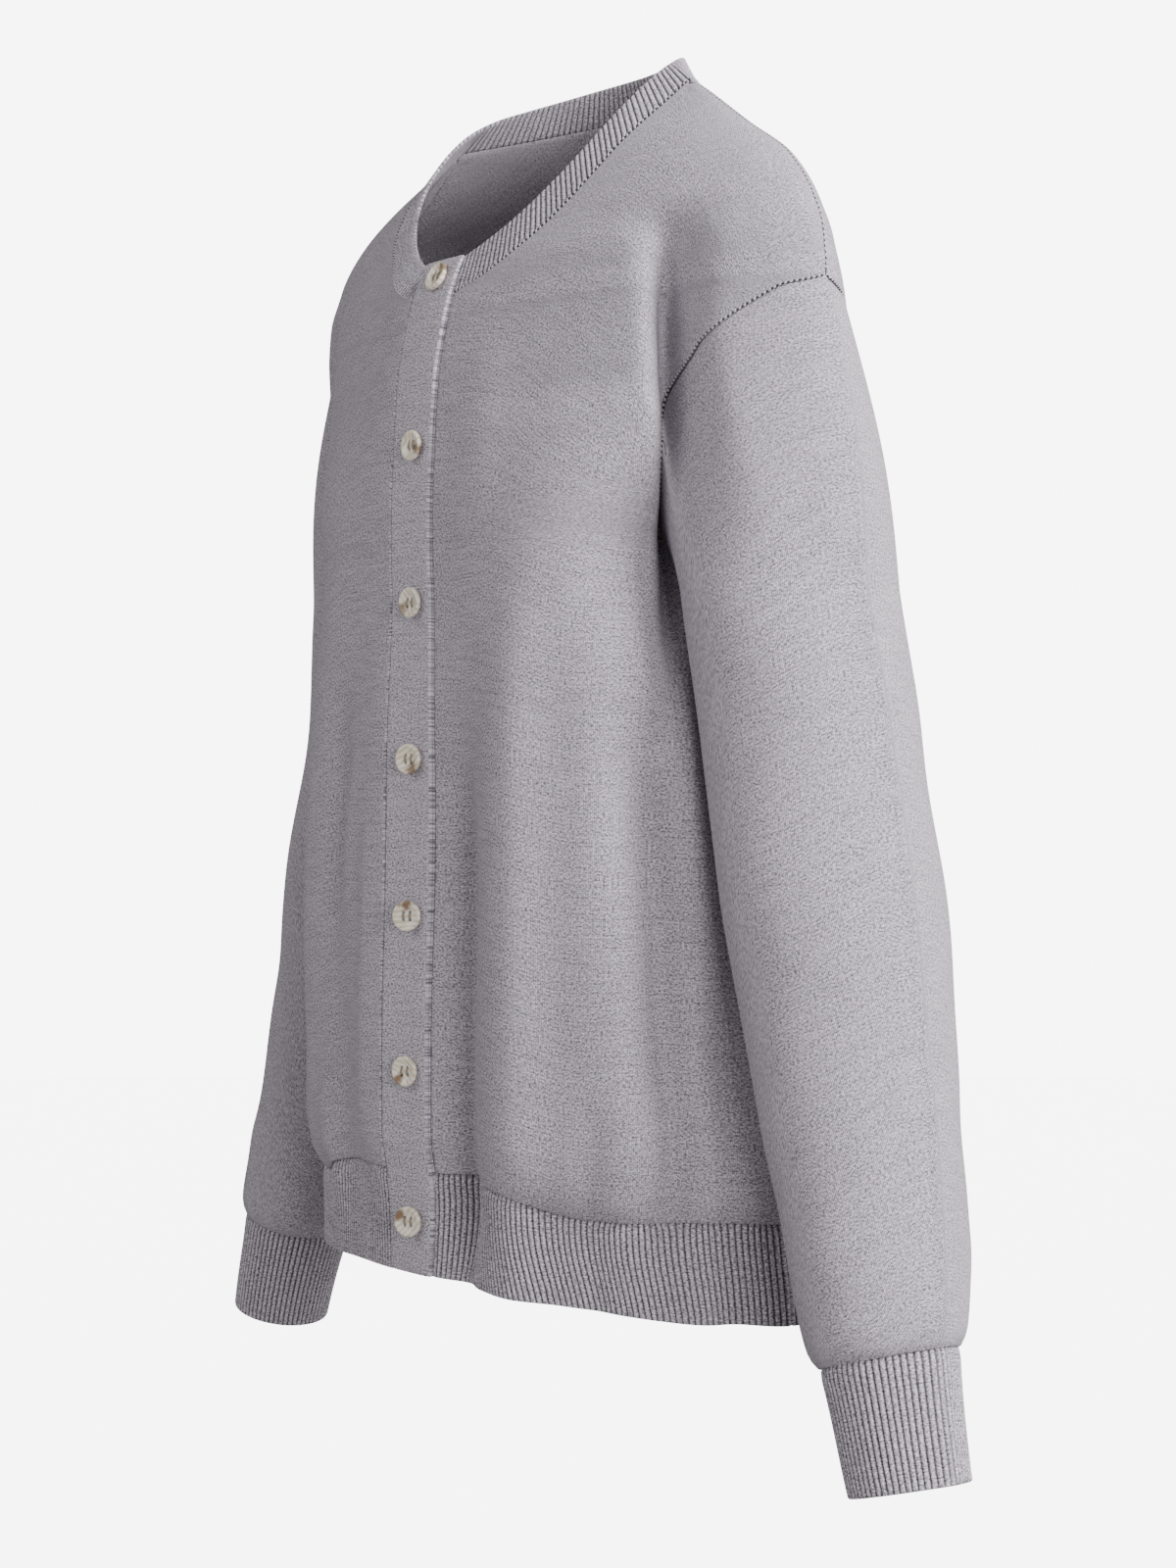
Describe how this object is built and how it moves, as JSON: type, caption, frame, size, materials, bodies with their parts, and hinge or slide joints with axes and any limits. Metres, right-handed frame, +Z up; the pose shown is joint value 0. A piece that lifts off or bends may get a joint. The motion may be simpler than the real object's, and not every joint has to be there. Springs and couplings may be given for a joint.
{
  "type": "button cardigan",
  "caption": "Round-necked long-sleeved knitted cardigan with drop shoulders, ribbed neck, hem and cuffs, buttoned down the front and filled out as worn.",
  "frame": {"origin": "midway between the two sides of the neck, where the garment sits on the wearer's shoulders", "axes": "+Z up, front faces -Y, +X to the wearer's left"},
  "size_m": [0.6048, 0.2092, 0.6651],
  "materials": {
    "jersey_knit": "fine plain knit in grey melange yarn, soft and matt",
    "rib_knit": "fine rib in the same grey melange yarn",
    "band_knit": "firm double plain knit in the same yarn",
    "button": "polished ivory horn-effect resin with a brown marbled patch at the rim"
  },
  "bodies": {
    "root": {"back": "jersey_knit", "left_front": "jersey_knit", "right_front": "jersey_knit", "left_sleeve": "jersey_knit", "right_sleeve": "jersey_knit", "left_cuff": "rib_knit", "right_cuff": "rib_knit", "hem_rib_back": "rib_knit", "hem_rib_left": "rib_knit", "hem_rib_right": "rib_knit", "neckband": "rib_knit", "button_band": "band_knit", "buttonhole_band": "band_knit", "button_1": "button", "button_2": "button", "button_3": "button", "button_4": "button", "button_5": "button", "button_6": "button", "button_7": "button"}
  },
  "joints": []
}
